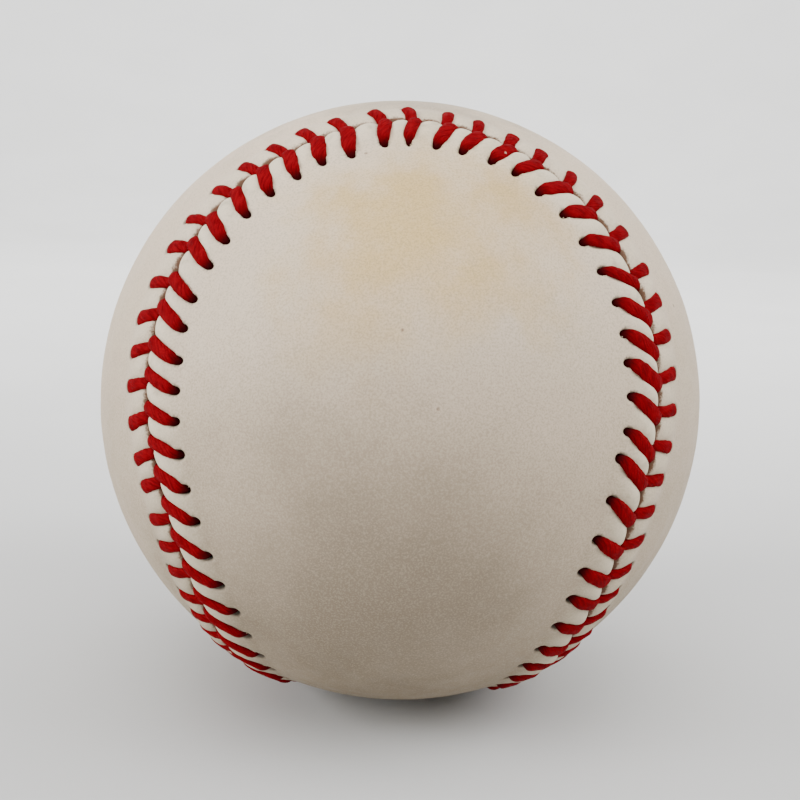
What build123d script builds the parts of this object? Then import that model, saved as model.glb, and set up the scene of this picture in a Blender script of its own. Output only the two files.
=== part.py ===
# A regulation baseball: cork and rubber centre, four windings, two leather panels and the red stitching.
# Millimetres, Z up. The origin is the middle of the ball, and the front panel's lobe faces -Y.
from build123d import *

import math
import os

# Centre of the ball: a cork core in a two-part black rubber shell, with a red rubber jacket.
CORK_RADIUS = 10.32
BLACK_RUBBER_THICKNESS = 3.97
RED_RUBBER_THICKNESS = 2.38
GASKET_THICKNESS = 0.8

# Windings, each by the girth of the ball once it is wound.
GREY_WOOL_GIRTH = 196.9
WHITE_WOOL_GIRTH = 208.0
OUTER_WOOL_GIRTH = 222.2
FINISH_GIRTH = 224.5

# Leather cover.
BALL_RADIUS = 37.0
LEATHER_THICKNESS = 1.25

# Seam on the sphere, as angles seen from the middle of the ball, in degrees.
# Half the width of a panel's waist, then the radius of a lobe's end and of a lobe's long sides.
WAIST_HALF_ANGLE = 21.9
LOBE_END_ANGLE = 17.7
LOBE_SIDE_ANGLE = 53.7

# Cross-section of a panel's raised edge: distance from the seam line, and rise over the smooth leather.
LIP_FOOT = 5.2
LIP_CREST_AT = 2.1
LIP_CREST_RISE = 0.85
LIP_EDGE_RISE = 0.45
SEAM_HALF_GAP = 0.2

# Stitching: a hole is this far from the seam line, and a leg reaches this far ahead of its hole.
STITCH_COUNT = 108
THREAD_DIAMETER = 1.0
HOLE_DIAMETER = 1.1
HOLE_OFFSET = 4.6
FRONT_LEG_ADVANCE = 2.6
SIDE_LEG_ADVANCE = 1.4

# Rise of the thread's middle at the turns of a stitch, and the bend at each of them.
UNDER_HOLE_RISE = -1.65
OVER_HOLE_RISE = 0.95
OVER_CREST_RISE = 1.65
OVER_SEAM_RISE = 1.2
UNDER_SEAM_RISE = -1.5
TIGHT_BEND = 0.65
CREST_BEND = 1.5

PILL_RADIUS = CORK_RADIUS + BLACK_RUBBER_THICKNESS
JACKET_RADIUS = PILL_RADIUS + RED_RUBBER_THICKNESS
FRONT, SIDES = -1, 1


def radius_of(girth):
    """Radius of a round winding from its girth."""
    return girth / (2 * math.pi)


def unit(latitude, longitude):
    """Direction on the sphere, with longitude counted from the middle of the front lobe."""
    lat, lon = math.radians(latitude), math.radians(longitude)
    return Vector(math.cos(lat) * math.sin(lon), -math.cos(lat) * math.cos(lon), math.sin(lat))


def to_lobe(direction, lobe):
    """The same direction on another lobe: a quarter turn about Z and a flip for each step."""
    for _ in range(lobe):
        direction = Vector(-direction.Y, direction.X, -direction.Z)
    return direction


def mirrored(direction):
    """The same direction on the other side of the front lobe."""
    return Vector(-direction.X, direction.Y, direction.Z)


class SeamArc:
    """One circular arc of the seam, as a turn about an axis through the middle of the ball."""

    def __init__(self, centre, start, end, lobe):
        self.centre = centre
        self.width = math.acos(centre.dot(start))
        self.outward = SIDES if lobe % 2 == 0 else FRONT
        self.spoke = (start - centre * centre.dot(start)).normalized()
        last = (end - centre * centre.dot(end)).normalized()
        self.turn = -self.outward * math.acos(self.spoke.dot(last))
        self.length = BALL_RADIUS * math.sin(self.width) * abs(self.turn)

    def point(self, along, offset, rise):
        """A point beside the seam: length along the arc, offset to a side, rise over the leather."""
        turn = self.turn * along / self.length
        angle = self.width + self.outward * offset / BALL_RADIUS
        spoke = self.spoke * math.cos(turn) + self.centre.cross(self.spoke) * math.sin(turn)
        return (spoke * math.sin(angle) + self.centre * math.cos(angle)) * (BALL_RADIUS + rise)

    def section(self, offset, rise):
        """A point of the cross-section at the arc's start, in the plane of the spoke and the centre."""
        angle = self.width + self.outward * offset / BALL_RADIUS
        return ((BALL_RADIUS + rise) * math.sin(angle), (BALL_RADIUS + rise) * math.cos(angle))

    def leather(self, side):
        """The leather beside this arc, out to the panel's middle line, as a turned cross-section."""
        to_centre = self.width * BALL_RADIUS
        past_middle = math.radians(75) * BALL_RADIUS
        far = to_centre if side == -self.outward else past_middle
        half = (far + LIP_FOOT) / 2
        under = -LEATHER_THICKNESS

        def at(offset, rise):
            return self.section(side * offset, rise)

        edges = [
            ThreePointArc(at(far, 0), at(half, 0), at(LIP_FOOT, 0)),
            ThreePointArc(at(LIP_FOOT, 0), at(LIP_CREST_AT, LIP_CREST_RISE), at(SEAM_HALF_GAP, LIP_EDGE_RISE)),
            Line(at(SEAM_HALF_GAP, LIP_EDGE_RISE), at(SEAM_HALF_GAP, under + LIP_EDGE_RISE)),
            ThreePointArc(
                at(SEAM_HALF_GAP, under + LIP_EDGE_RISE),
                at(LIP_CREST_AT, under + LIP_CREST_RISE),
                at(LIP_FOOT, under),
            ),
            ThreePointArc(at(LIP_FOOT, under), at(half, under), at(far, under)),
            Line(at(far, under), at(far, 0)),
        ]
        plane = Plane(origin=(0, 0, 0), x_dir=self.spoke, z_dir=self.spoke.cross(self.centre))
        axis = Axis((0, 0, 0), self.centre * math.copysign(1, self.turn))
        whole = revolve(plane * make_face(edges), axis, math.degrees(abs(self.turn)))
        middle = self.point(self.length / 2, 0, 0)
        across = middle.X if side == FRONT else middle.Y
        if abs(across) < 1:
            return whole
        block = 4 * BALL_RADIUS
        shift = math.copysign(block / 2, across)
        half_space = Pos(shift, 0, 0) if side == FRONT else Pos(0, shift, 0)
        return whole & half_space * Box(block, block, block)


def seam_arcs():
    """The twelve tangent arcs of the seam in order, from the start of the front lobe's end."""
    end_centre = unit(90 - WAIST_HALF_ANGLE - LOBE_END_ANGLE, 0)
    crossing = unit(0, 45)
    to_end = math.cos(math.radians(LOBE_SIDE_ANGLE - LOBE_END_ANGLE))
    to_crossing = math.cos(math.radians(LOBE_SIDE_ANGLE))
    shared = end_centre.dot(crossing)
    by_end = (to_end - to_crossing * shared) / (1 - shared * shared)
    by_crossing = (to_crossing - to_end * shared) / (1 - shared * shared)
    flat = end_centre * by_end + crossing * by_crossing
    normal = end_centre.cross(crossing).normalized()
    side_centre = flat - normal * math.sqrt(1 - flat.dot(flat))
    spoke = (end_centre - side_centre * side_centre.dot(end_centre)).normalized()
    side = math.radians(LOBE_SIDE_ANGLE)
    joint = side_centre * math.cos(side) + spoke * math.sin(side)

    arcs = []
    for lobe in range(4):
        after = (lobe + 1) % 4
        end = [to_lobe(v, lobe) for v in (end_centre, mirrored(joint), joint)]
        leaving = [to_lobe(v, lobe) for v in (side_centre, joint, crossing)]
        arriving = [to_lobe(mirrored(v), after) for v in (side_centre, crossing, joint)]
        arcs.append(SeamArc(*end, lobe))
        arcs.append(SeamArc(*leaving, lobe))
        arcs.append(SeamArc(*arriving, after))
    return arcs


ARCS = seam_arcs()
SEAM_LENGTH = sum(arc.length for arc in ARCS)
PITCH = SEAM_LENGTH / STITCH_COUNT


def beside_seam(along, offset, rise):
    """A point by length along the whole seam, offset to a panel's side and rise over the leather."""
    along = along % SEAM_LENGTH
    for arc in ARCS:
        if along <= arc.length:
            return arc.point(along, offset, rise)
        along -= arc.length
    return ARCS[0].point(0, offset, rise)


def hole_at(stitch):
    """Length along the seam of a stitch's pair of holes."""
    return (stitch + 0.5) * PITCH


def bore(along, offset):
    """A straight hole through the leather, square to the ball."""
    foot = beside_seam(along, offset, UNDER_HOLE_RISE - 1)
    return Solid.make_cylinder(HOLE_DIAMETER / 2, 5.5, Plane(origin=foot, z_dir=foot.normalized()))


def bores(side):
    """The needle holes of one panel, and the nicks in its edge where the thread dives into the seam."""
    made = []
    for stitch in range(STITCH_COUNT):
        made.append(bore(hole_at(stitch), side * HOLE_OFFSET))
        made.append(bore(hole_at(stitch) + FRONT_LEG_ADVANCE, 0))
        made.append(bore(hole_at(stitch) + SIDE_LEG_ADVANCE, 0))
    return made


def needle_corners(first_side):
    """Turns of the thread on one needle, each with its bend, all the way round the seam."""
    corners = []
    for stitch in range(STITCH_COUNT):
        side = first_side if stitch % 2 == 0 else -first_side
        advance = FRONT_LEG_ADVANCE if side == FRONT else SIDE_LEG_ADVANCE
        at = hole_at(stitch)
        corners.append((beside_seam(at, side * HOLE_OFFSET, UNDER_HOLE_RISE), TIGHT_BEND))
        corners.append((beside_seam(at, side * HOLE_OFFSET, OVER_HOLE_RISE), TIGHT_BEND))
        corners.append((beside_seam(at + 0.45 * advance, side * LIP_CREST_AT, OVER_CREST_RISE), CREST_BEND))
        corners.append((beside_seam(at + advance, 0, OVER_SEAM_RISE), TIGHT_BEND))
        corners.append((beside_seam(at + advance, 0, UNDER_SEAM_RISE), TIGHT_BEND))
    return corners


def thread_run(corners):
    """One unbroken run of straight lengths and round bends, with its two ends a little apart."""
    last, first = corners[-1][0], corners[0][0]
    before, start = last, last + (first - last) * 0.55
    edges = []
    for index, (corner, bend) in enumerate(corners):
        after = corners[(index + 1) % len(corners)][0]
        back, ahead = (before - corner).normalized(), (after - corner).normalized()
        half = math.acos(back.dot(ahead)) / 2
        into, out = corner + back * (bend / math.tan(half)), corner + ahead * (bend / math.tan(half))
        middle = corner + (back + ahead).normalized() * (bend / math.sin(half) - bend)
        edges.append(Edge.make_line(start, into))
        edges.append(Edge.make_three_point_arc(into, middle, out))
        before, start = corner, out
    edges.append(Edge.make_line(start, last + (first - last) * 0.45))
    return Wire(edges)


def hollow(outer, inner):
    """A round layer between two radii."""
    Sphere(outer)
    Sphere(inner, mode=Mode.SUBTRACT)


def stitch_with(run):
    """Sweep the round thread along its run."""
    with BuildSketch(Plane(origin=run @ 0, z_dir=run % 0)) as thread:
        Circle(THREAD_DIAMETER / 2)
    sweep(sections=thread.sketch, path=run)


os.makedirs("parts", exist_ok=True)

with BuildPart() as cork_core:
    Sphere(CORK_RADIUS)
cork_core.part.label = "cork_core"
export_step(cork_core.part, "parts/cork_core.step")

with BuildPart() as black_rubber_shell_upper:
    hollow(PILL_RADIUS, CORK_RADIUS)
    split(bisect_by=Plane.XY.offset(GASKET_THICKNESS / 2), keep=Keep.TOP)
black_rubber_shell_upper.part.label = "black_rubber_shell_upper"
export_step(black_rubber_shell_upper.part, "parts/black_rubber_shell_upper.step")

with BuildPart() as black_rubber_shell_lower:
    hollow(PILL_RADIUS, CORK_RADIUS)
    split(bisect_by=Plane.XY.offset(-GASKET_THICKNESS / 2), keep=Keep.BOTTOM)
black_rubber_shell_lower.part.label = "black_rubber_shell_lower"
export_step(black_rubber_shell_lower.part, "parts/black_rubber_shell_lower.step")

with BuildPart() as red_rubber_gasket:
    hollow(PILL_RADIUS, CORK_RADIUS)
    split(bisect_by=Plane.XY.offset(GASKET_THICKNESS / 2), keep=Keep.BOTTOM)
    split(bisect_by=Plane.XY.offset(-GASKET_THICKNESS / 2), keep=Keep.TOP)
red_rubber_gasket.part.label = "red_rubber_gasket"
export_step(red_rubber_gasket.part, "parts/red_rubber_gasket.step")

with BuildPart() as red_rubber_jacket:
    hollow(JACKET_RADIUS, PILL_RADIUS)
red_rubber_jacket.part.label = "red_rubber_jacket"
export_step(red_rubber_jacket.part, "parts/red_rubber_jacket.step")

with BuildPart() as grey_wool_winding:
    hollow(radius_of(GREY_WOOL_GIRTH), JACKET_RADIUS)
grey_wool_winding.part.label = "grey_wool_winding"
export_step(grey_wool_winding.part, "parts/grey_wool_winding.step")

with BuildPart() as white_wool_winding:
    hollow(radius_of(WHITE_WOOL_GIRTH), radius_of(GREY_WOOL_GIRTH))
white_wool_winding.part.label = "white_wool_winding"
export_step(white_wool_winding.part, "parts/white_wool_winding.step")

with BuildPart() as outer_grey_wool_winding:
    hollow(radius_of(OUTER_WOOL_GIRTH), radius_of(WHITE_WOOL_GIRTH))
outer_grey_wool_winding.part.label = "outer_grey_wool_winding"
export_step(outer_grey_wool_winding.part, "parts/outer_grey_wool_winding.step")

with BuildPart() as cotton_finish_winding:
    hollow(radius_of(FINISH_GIRTH), radius_of(OUTER_WOOL_GIRTH))
cotton_finish_winding.part.label = "cotton_finish_winding"
export_step(cotton_finish_winding.part, "parts/cotton_finish_winding.step")

# Each panel is cut and pulled on in one piece: the leather beside every arc, joined, then pierced.
front_leather = [arc.leather(FRONT) for arc in ARCS]
sides_leather = [arc.leather(SIDES) for arc in ARCS]

with BuildPart() as leather_panel_front:
    add(front_leather)
    add(bores(FRONT), mode=Mode.SUBTRACT)
leather_panel_front.part.label = "leather_panel_front"
export_step(leather_panel_front.part, "parts/leather_panel_front.step")

with BuildPart() as leather_panel_sides:
    add(sides_leather)
    add(bores(SIDES), mode=Mode.SUBTRACT)
leather_panel_sides.part.label = "leather_panel_sides"
export_step(leather_panel_sides.part, "parts/leather_panel_sides.step")

with BuildPart() as red_thread_first_needle:
    stitch_with(thread_run(needle_corners(FRONT)))
red_thread_first_needle.part.label = "red_thread_first_needle"
export_step(red_thread_first_needle.part, "parts/red_thread_first_needle.step")

with BuildPart() as red_thread_second_needle:
    stitch_with(thread_run(needle_corners(SIDES)))
red_thread_second_needle.part.label = "red_thread_second_needle"
export_step(red_thread_second_needle.part, "parts/red_thread_second_needle.step")
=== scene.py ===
"""A used baseball: two leather panels sewn with red thread over a wound and moulded inside."""

import logging
import math
from dataclasses import dataclass, field
from enum import Enum
from typing import ClassVar, Sequence

import bpy
import numpy as np
from mathutils import Matrix, Vector, kdtree, noise
from mathutils.geometry import delaunay_2d_cdt


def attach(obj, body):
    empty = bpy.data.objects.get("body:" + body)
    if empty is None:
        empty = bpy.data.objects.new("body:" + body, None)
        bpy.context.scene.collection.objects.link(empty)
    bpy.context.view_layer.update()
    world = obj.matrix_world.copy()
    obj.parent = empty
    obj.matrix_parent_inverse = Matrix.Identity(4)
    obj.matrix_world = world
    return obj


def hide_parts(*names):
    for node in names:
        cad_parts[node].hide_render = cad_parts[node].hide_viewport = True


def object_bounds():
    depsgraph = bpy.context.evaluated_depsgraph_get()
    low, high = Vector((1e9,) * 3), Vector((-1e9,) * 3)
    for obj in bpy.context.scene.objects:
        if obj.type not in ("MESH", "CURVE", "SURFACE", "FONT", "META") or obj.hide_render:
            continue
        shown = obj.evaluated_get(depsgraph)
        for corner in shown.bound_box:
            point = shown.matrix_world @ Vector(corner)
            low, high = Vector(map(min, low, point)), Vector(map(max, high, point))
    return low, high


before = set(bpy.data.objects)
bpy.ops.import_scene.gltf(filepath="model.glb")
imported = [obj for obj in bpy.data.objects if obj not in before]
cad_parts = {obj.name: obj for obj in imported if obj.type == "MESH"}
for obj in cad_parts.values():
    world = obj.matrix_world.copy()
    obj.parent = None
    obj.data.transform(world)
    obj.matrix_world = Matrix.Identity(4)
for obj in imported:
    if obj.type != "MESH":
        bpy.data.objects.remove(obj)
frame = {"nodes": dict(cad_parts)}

CAD_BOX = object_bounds()
MM = 0.001
LOG = logging.getLogger("baseball")
Colour = tuple[float, float, float]
Point = tuple[float, float, float]
Faces = list[tuple[int, ...]]


class Side(Enum):
    """Which panel a thing belongs to, as the sign of its offset from the seam line."""

    FRONT = -1
    SIDES = 1

    @property
    def other(self) -> "Side":
        """The panel across the seam."""
        return Side(-self.value)


def unit(latitude: float, longitude: float) -> np.ndarray:
    """Direction on the ball.

    Args:
        latitude: degrees above the ball's middle.
        longitude: degrees from the middle of the front lobe.

    Returns:
        A unit vector in the frame's axes.
    """
    lat, lon = math.radians(latitude), math.radians(longitude)
    return np.array((math.cos(lat) * math.sin(lon), -math.cos(lat) * math.cos(lon), math.sin(lat)))


def normalized(vector: np.ndarray) -> np.ndarray:
    """The vector, or each row of vectors, at length one."""
    return vector / np.linalg.norm(vector, axis=-1, keepdims=True)


def smooth(value: np.ndarray, low: float, high: float) -> np.ndarray:
    """A soft step.

    Args:
        value: what is measured.
        low: where the step starts, at 0.
        high: where the step ends, at 1.

    Returns:
        The height of the step at each value.
    """
    share = np.clip((value - low) / (high - low), 0.0, 1.0)
    return share * share * (3.0 - 2.0 * share)


@dataclass(frozen=True)
class SeamArc:
    """One circular arc of the seam, as a turn about an axis through the middle of the ball."""

    centre: np.ndarray
    spoke: np.ndarray
    width: float
    turn: float
    outward: int
    length: float

    @classmethod
    def between(
        cls, centre: np.ndarray, start: np.ndarray, end: np.ndarray, lobe: int, radius: float
    ) -> "SeamArc":
        """Make the arc from one point of the seam to another.

        Args:
            centre: direction of the arc's own centre.
            start: direction of its first point.
            end: direction of its last point.
            lobe: number of the lobe that it goes round, 0 at the front.
            radius: radius of the ball.

        Returns:
            The arc.
        """
        outward = 1 if lobe % 2 == 0 else -1
        width = math.acos(float(centre @ start))
        spoke = normalized(start - centre * (centre @ start))
        last = normalized(end - centre * (centre @ end))
        turn = -outward * math.acos(float(spoke @ last))
        return cls(centre, spoke, width, turn, outward, radius * math.sin(width) * abs(turn))


@dataclass
class Seam:
    """The closed seam line: twelve tangent arcs on the ball, in millimetres and degrees."""

    radius: float = 37.0
    waist_half_angle: float = 21.9
    lobe_end_angle: float = 17.7
    lobe_side_angle: float = 53.7
    arcs: list[SeamArc] = field(init=False)
    length: float = field(init=False)

    def __post_init__(self) -> None:
        """Work out the arcs and keep them as arrays for quick reading."""
        self.arcs = self._arcs()
        lengths = np.array([arc.length for arc in self.arcs])
        self.length = float(lengths.sum())
        self._starts = np.concatenate(([0.0], np.cumsum(lengths)[:-1]))
        self._centre = np.array([arc.centre for arc in self.arcs])
        self._spoke = np.array([arc.spoke for arc in self.arcs])
        self._cross = np.cross(self._centre, self._spoke)
        self._width = np.array([arc.width for arc in self.arcs])
        self._rate = np.array([arc.turn / arc.length for arc in self.arcs])
        self._outward = np.array([arc.outward for arc in self.arcs])

    def _arcs(self) -> list[SeamArc]:
        """Work out the twelve arcs from the seam's three angles.

        Returns:
            The arcs in order, from the start of the front lobe's end.
        """
        end_centre = unit(90 - self.waist_half_angle - self.lobe_end_angle, 0)
        crossing = unit(0, 45)
        side = math.radians(self.lobe_side_angle)
        to_end = math.cos(side - math.radians(self.lobe_end_angle))
        shared = float(end_centre @ crossing)
        by_end = (to_end - math.cos(side) * shared) / (1 - shared * shared)
        by_crossing = (math.cos(side) - to_end * shared) / (1 - shared * shared)
        flat = end_centre * by_end + crossing * by_crossing
        normal = normalized(np.cross(end_centre, crossing))
        side_centre = flat - normal * math.sqrt(1 - float(flat @ flat))
        spoke = normalized(end_centre - side_centre * (side_centre @ end_centre))
        joint = side_centre * math.cos(side) + spoke * math.sin(side)
        mirror = np.array((-1.0, 1.0, 1.0))

        arcs = []
        for lobe in range(4):
            after = (lobe + 1) % 4
            end = [self._to_lobe(v, lobe) for v in (end_centre, joint * mirror, joint)]
            leaving = [self._to_lobe(v, lobe) for v in (side_centre, joint, crossing)]
            arriving = [self._to_lobe(v * mirror, after) for v in (side_centre, crossing, joint)]
            arcs.append(SeamArc.between(*end, lobe, self.radius))
            arcs.append(SeamArc.between(*leaving, lobe, self.radius))
            arcs.append(SeamArc.between(*arriving, after, self.radius))
        return arcs

    @staticmethod
    def _to_lobe(direction: np.ndarray, lobe: int) -> np.ndarray:
        """Carry a direction to another lobe, by a quarter turn and a flip for each step.

        Args:
            direction: the direction on the front lobe.
            lobe: number of the lobe that it goes to.

        Returns:
            The same direction on that lobe.
        """
        for _ in range(lobe):
            direction = np.array((-direction[1], direction[0], -direction[2]))
        return direction

    def at(self, along: np.ndarray, offset: np.ndarray, rise: np.ndarray) -> np.ndarray:
        """Points beside the seam.

        Args:
            along: lengths along the seam.
            offset: distances to a side of the seam line, over the ball.
            rise: heights over the smooth leather.

        Returns:
            One row of coordinates for each point, in millimetres.
        """
        along = np.mod(np.asarray(along, float), self.length)
        index = np.searchsorted(self._starts, along, side="right") - 1
        turn = ((along - self._starts[index]) * self._rate[index])[..., None]
        angle = (self._width[index] + self._outward[index] * offset / self.radius)[..., None]
        spoke = self._spoke[index] * np.cos(turn) + self._cross[index] * np.sin(turn)
        direction = spoke * np.sin(angle) + self._centre[index] * np.cos(angle)
        return direction * (self.radius + np.asarray(rise, float))[..., None]


@dataclass(frozen=True)
class Stretch:
    """A stretch of the seam that is sewn a little differently from the rest, counted in stitches."""

    middle: float
    reach: float
    amount: float

    def at(self, stitch: np.ndarray, count: int) -> np.ndarray:
        """How much the stretch changes each stitch.

        Args:
            stitch: numbers of the stitches.
            count: number of stitches on the ball.

        Returns:
            The amounts, which fade away towards both ends of the stretch.
        """
        away = np.abs((stitch - self.middle + count / 2) % count - count / 2)
        return self.amount * (1.0 - smooth(away, 0.0, self.reach))


@dataclass
class Stitching:
    """Where every stitch goes in and comes out, in millimetres, with the unevenness of sewing by hand."""

    seam: Seam
    count: int = 108
    front_hole: float = 4.42
    sides_hole: float = 3.95
    front_advance: float = 2.2
    sides_advance: float = 0.65
    sides_shift: float = 0.4
    # Where the first stitch is, in stitches from the start of the seam.
    start: float = 0.35
    # Stretches sewn differently: crowded in stitches, thicker as a share, the others in millimetres.
    crowded: tuple[Stretch, ...] = (
        Stretch(88, 10, 0.7),
        Stretch(98, 14, 0.25),
        Stretch(102.5, 2, 0.12),
        Stretch(1.2, 2.8, 0.2),
        Stretch(5.5, 3, -0.15),
    )
    front_slip: tuple[Stretch, ...] = (
        Stretch(10, 6, -0.35),
        Stretch(16, 6, -0.35),
        Stretch(16, 1, 0.5),
        Stretch(1, 1, 0.5),
    )
    sides_slip: tuple[Stretch, ...] = (Stretch(90, 5, -0.8), Stretch(2, 2.2, -0.8))
    thicker: tuple[Stretch, ...] = (Stretch(11, 7, 0.16),)
    shorter: tuple[Stretch, ...] = (
        Stretch(5, 4.5, -0.5),
        Stretch(92.5, 4, -0.6),
        Stretch(18, 3.5, -0.35),
    )
    upright: tuple[Stretch, ...] = (
        Stretch(106.5, 9.5, -1.1),
        Stretch(2.5, 4, -0.45),
        Stretch(9, 3.2, 1.0),
        Stretch(18.5, 4, -0.6),
    )
    # How far each stitch differs from the usual one, as a standard deviation.
    pair_spread: float = 0.16
    hole_spread: float = 0.12
    out_spread: float = 0.13
    lean_spread: float = 0.16
    puff_spread: float = 0.09
    width_spread: float = 0.06
    # A leg leans evenly as far as this share of its way, and then almost stops leaning.
    lean_until: float = 0.8
    lean_held: float = 0.9
    lint_share: float = 0.03
    worn_stitch: int = 3
    worn_width: float = 1.14
    seed: int = 8

    def __post_init__(self) -> None:
        """Draw the unevenness of every stitch once, so each piece reads the same values."""
        draw = np.random.default_rng(self.seed)
        self.pitch = self.seam.length / self.count
        number = np.arange(self.count)
        spaced = number + self.start + self._drift(self.crowded, number)
        pair = spaced * self.pitch + draw.normal(0.0, self.pair_spread, self.count)
        self._hole_at: dict[Side, np.ndarray] = {}
        self._hole_out: dict[Side, np.ndarray] = {}
        self._advance: dict[Side, np.ndarray] = {}
        self._puff: dict[Side, np.ndarray] = {}
        self._leg_width: dict[Side, np.ndarray] = {}
        self._lint: dict[Side, np.ndarray] = {}
        for side, hole, advance, shift in (
            (Side.FRONT, self.front_hole, self.front_advance, 0.0),
            (Side.SIDES, self.sides_hole, self.sides_advance, self.sides_shift),
        ):
            self._hole_at[side] = pair + shift + draw.normal(0.0, self.hole_spread, self.count)
            self._hole_out[side] = hole + draw.normal(0.0, self.out_spread, self.count)
            self._advance[side] = advance + draw.normal(0.0, self.lean_spread, self.count)
            self._puff[side] = 1.0 + draw.normal(0.0, self.puff_spread, self.count)
            self._leg_width[side] = 1.0 + draw.normal(0.0, self.width_spread, self.count)
            share = self.lint_share if side is Side.FRONT else 0.0
            self._lint[side] = (draw.random(self.count) < share).astype(float)
        self._hole_at[Side.FRONT] += self._drift(self.front_slip, number)
        self._hole_at[Side.SIDES] += self._drift(self.sides_slip, number)
        self._leg_width[Side.FRONT] += self._drift(self.thicker, number)
        self._hole_out[Side.FRONT] += self._drift(self.shorter, number)
        self._advance[Side.FRONT] += self._drift(self.upright, number)
        self._lint[Side.FRONT][self.worn_stitch] = 1.0
        self._leg_width[Side.FRONT][self.worn_stitch] = self.worn_width

    def _drift(self, stretches: tuple[Stretch, ...], stitch: np.ndarray) -> np.ndarray:
        """Sum of what several stretches change at each stitch."""
        return sum(stretch.at(stitch, self.count) for stretch in stretches)

    def hole_at(self, side: Side, stitch: np.ndarray) -> np.ndarray:
        """Length along the seam of each stitch's hole, counted on past the last stitch."""
        stitch = np.asarray(stitch)
        return self._hole_at[side][stitch % self.count] + (stitch // self.count) * self.seam.length

    def hole_out(self, side: Side, stitch: np.ndarray) -> np.ndarray:
        """Distance of each stitch's hole from the seam line."""
        return self._hole_out[side][np.asarray(stitch) % self.count]

    def advance(self, side: Side, stitch: np.ndarray) -> np.ndarray:
        """How far each leg leans along the seam from its hole to the seam line."""
        return self._advance[side][np.asarray(stitch) % self.count]

    def puff(self, side: Side, stitch: np.ndarray) -> np.ndarray:
        """How full the leather is between each stitch and the next."""
        return self._puff[side][np.asarray(stitch) % self.count]

    def leg_width(self, side: Side, stitch: np.ndarray) -> np.ndarray:
        """How wide each leg is, as a share of the usual width."""
        return self._leg_width[side][np.asarray(stitch) % self.count]

    def lint(self, side: Side, stitch: int) -> float:
        """Whether a leg has picked up a speck of pale lint, as 1 or 0."""
        return float(self._lint[side][stitch % self.count])

    def lean(self, share: np.ndarray) -> np.ndarray:
        """How much of its lean a leg has taken up, by its share of the way from the hole to the seam."""
        return np.clip(share, 0.0, None) - self.lean_held * np.clip(share - self.lean_until, 0.0, None)


@dataclass
class Lip:
    """The raised edge of a panel: how it rises over the ball beside the seam, in millimetres."""

    crest_at: float
    crest_rise: float
    under_leg: float
    foot: float = 5.5
    groove_rise: float = -0.6
    bed: float = 0.13
    roundness: float = 2.2
    pulled_back: float = 0.45
    overhang: float = 0.18
    overhang_at: float = 0.74
    overhang_reach: float = 0.2
    front_gap: float = 0.04
    sides_gap: float = 0.06
    sides_pulled: float = 0.6
    outer_round: float = 0.32
    hole_beyond: float = 0.17
    hole_half_length: float = 0.8
    hole_half_width: float = 0.55
    hole_depth: float = 1.15

    def edge(self, between: np.ndarray, side: Side) -> np.ndarray:
        """How far the leather's edge stands back from the seam line.

        Args:
            between: share of the way from one leg to the next.
            side: the panel.

        Returns:
            The distances. The front panel's edge noses over the seam line just before each leg.
        """
        back = self.pulled_back * np.abs(2.0 * between - 1.0) ** 4
        nose = self.overhang * np.exp(-(((between - self.overhang_at) / self.overhang_reach) ** 2))
        if side is Side.FRONT:
            return self.front_gap + back - nose
        return self.sides_gap + self.overhang + self.sides_pulled * back

    def fullness(self, between: np.ndarray, puff: np.ndarray) -> np.ndarray:
        """Height of the leather between two legs, as a share of the crest.

        Args:
            between: share of the way from one leg to the next.
            puff: how full this stretch of leather is.

        Returns:
            The share, lowest under a leg.
        """
        free = np.clip((between - self.bed) / (1.0 - 2.0 * self.bed), 0.0, 1.0)
        swell = 1.0 - np.abs(2.0 * free - 1.0) ** self.roundness
        return self.under_leg + (puff - self.under_leg) * swell

    def rise(self, distance: np.ndarray, fullness: np.ndarray) -> np.ndarray:
        """Height over the smooth ball.

        Args:
            distance: distance from the seam line.
            fullness: share of the crest that the leather reaches here.

        Returns:
            The heights.
        """
        crest = self.crest_rise * fullness
        nose = np.sqrt(np.clip(1.0 - (1.0 - np.clip(distance / self.crest_at, 0, 1)) ** 2, 0, 1))
        inner = self.groove_rise + (crest - self.groove_rise) * nose
        share = np.clip((distance - self.crest_at) / (self.foot - self.crest_at), 0.0, 1.0)
        rounded = self.outer_round * (1.0 - share**2)
        sloping = (1.0 - self.outer_round) * 0.5 * (1.0 + np.cos(np.pi * share))
        return np.where(distance < self.crest_at, inner, crest * (rounded + sloping))

    def hole(self, along: np.ndarray, out: np.ndarray) -> np.ndarray:
        """How far out of a needle hole a point is, with 1 at the rim.

        Args:
            along: distance from the hole's middle along the seam.
            out: distance from the hole's middle across the seam.

        Returns:
            The distances, in rims.
        """
        return np.hypot(along / self.hole_half_width, out / self.hole_half_length)


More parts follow.
